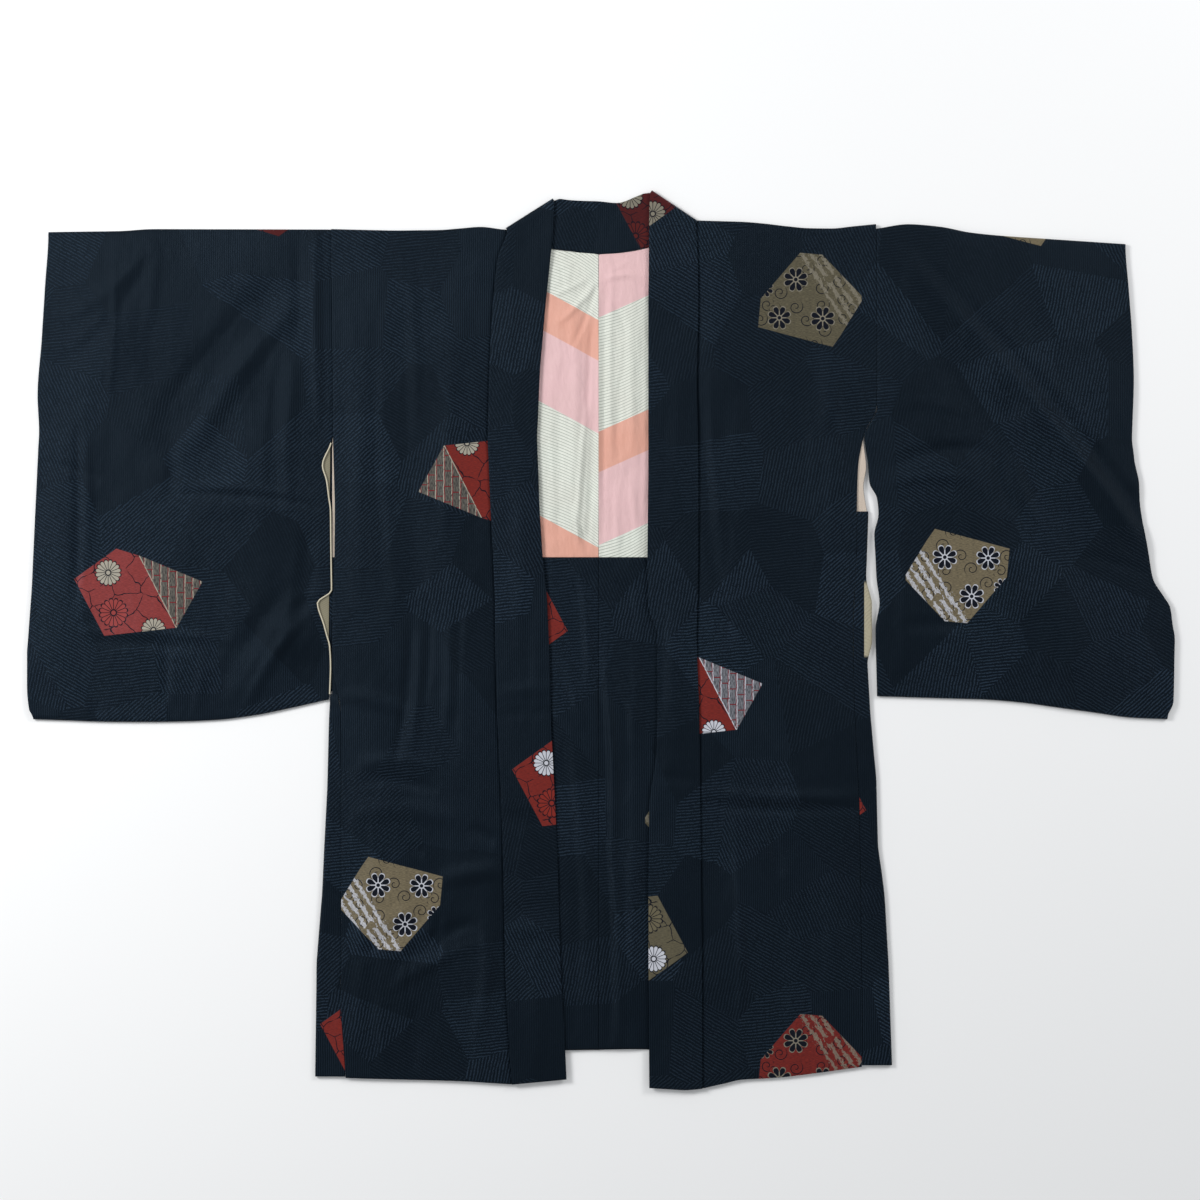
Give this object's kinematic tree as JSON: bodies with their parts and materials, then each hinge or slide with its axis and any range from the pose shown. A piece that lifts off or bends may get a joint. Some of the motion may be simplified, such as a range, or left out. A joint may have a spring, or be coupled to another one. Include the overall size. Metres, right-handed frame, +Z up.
{
  "type": "haori jacket",
  "caption": "Lined haori jacket laid flat, face up: open front with a long folded collar, wide square sleeves, side gussets and scattered patterned patches on dark ribbed silk.",
  "frame": {"origin": "on the surface that the jacket lies on, under the middle of its outline", "axes": "+Z up, away from the surface; +Y from hem to neck; +X to the right of someone looking down on it"},
  "size_m": [1.261, 0.9886, 0.0107],
  "materials": {
    "ground_cloth": "blue-black silk with a ribbed jacquard of straight-sided cells and scattered red, khaki and grey patches",
    "body_lining": "smooth lining in cream, shell pink and coral with fine curved lines",
    "sleeve_lining": "plain khaki-cream lining with a fine rib"
  },
  "bodies": {
    "root": {"body_left": "ground_cloth", "body_right": "ground_cloth", "sleeve_left": "ground_cloth", "sleeve_right": "ground_cloth", "collar": "ground_cloth", "gusset_left": "ground_cloth", "gusset_right": "ground_cloth", "facing_left": "ground_cloth", "facing_right": "ground_cloth", "lining_left": "body_lining", "lining_right": "body_lining", "sleeve_lining_left": "sleeve_lining"}
  },
  "joints": []
}
